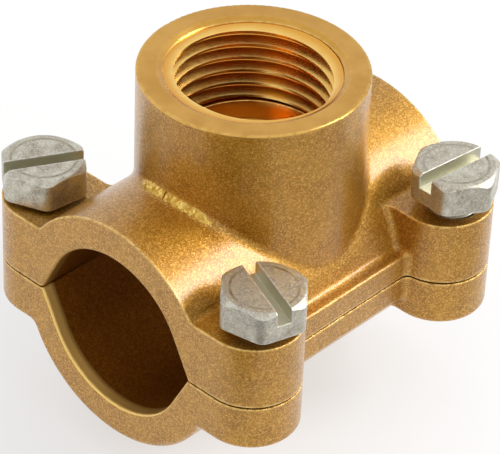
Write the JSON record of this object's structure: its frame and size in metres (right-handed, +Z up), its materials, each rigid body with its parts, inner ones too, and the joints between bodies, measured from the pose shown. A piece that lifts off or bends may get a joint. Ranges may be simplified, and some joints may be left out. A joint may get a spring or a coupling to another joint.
{
  "type": "tapping saddle",
  "caption": "Two cast half clamps bolted round a metal pipe with slotted hexagon screws; the upper half carries a round boss with an internal pipe thread.",
  "frame": {"origin": "where the pipe axis meets the outlet axis, in the middle of the open gap between the two castings", "axes": "+X along the pipe, +Y across the pipe, +Z up along the threaded outlet"},
  "size_m": [0.045, 0.0463, 0.0415],
  "materials": {
    "cast_bronze": "as-cast and tumbled, with a turned rim and thread",
    "plated_steel": "dull zinc plating, with the marks of forging",
    "seal_rubber": "moulded, matt"
  },
  "bodies": {
    "saddle": {"saddle_body": "cast_bronze", "outlet_seal": "seal_rubber"},
    "strap": {"clamp_strap": "cast_bronze"},
    "screw_front_right": {"screw_front_right": "plated_steel"},
    "screw_back_right": {"screw_back_right": "plated_steel"},
    "screw_front_left": {"screw_front_left": "plated_steel"},
    "screw_back_left": {"screw_back_left": "plated_steel"}
  },
  "joints": [
    {"name": "strap_drop", "type": "slide", "parent": "saddle", "child": "strap", "axis": [0, 0, -1], "range_m": [0, 0.005]},
    {"name": "screw_front_right_turn", "type": "hinge", "parent": "saddle", "child": "screw_front_right", "pos_m": [-0.0165, -0.01784, 0], "axis": [0, 0, 1], "range_deg": [0, 1800]},
    {"name": "screw_back_right_turn", "type": "hinge", "parent": "saddle", "child": "screw_back_right", "pos_m": [0.0165, -0.01784, 0], "axis": [0, 0, 1], "range_deg": [0, 1800]},
    {"name": "screw_front_left_turn", "type": "hinge", "parent": "saddle", "child": "screw_front_left", "pos_m": [-0.0165, 0.01784, 0], "axis": [0, 0, 1], "range_deg": [0, 1800]},
    {"name": "screw_back_left_turn", "type": "hinge", "parent": "saddle", "child": "screw_back_left", "pos_m": [0.0165, 0.01784, 0], "axis": [0, 0, 1], "range_deg": [0, 1800]}
  ],
  "couplings": [
    {"joint": "screw_front_right_turn", "follows": "strap_drop", "rad_per_m": 6283},
    {"joint": "screw_back_right_turn", "follows": "strap_drop", "rad_per_m": 6283},
    {"joint": "screw_front_left_turn", "follows": "strap_drop", "rad_per_m": 6283},
    {"joint": "screw_back_left_turn", "follows": "strap_drop", "rad_per_m": 6283}
  ]
}
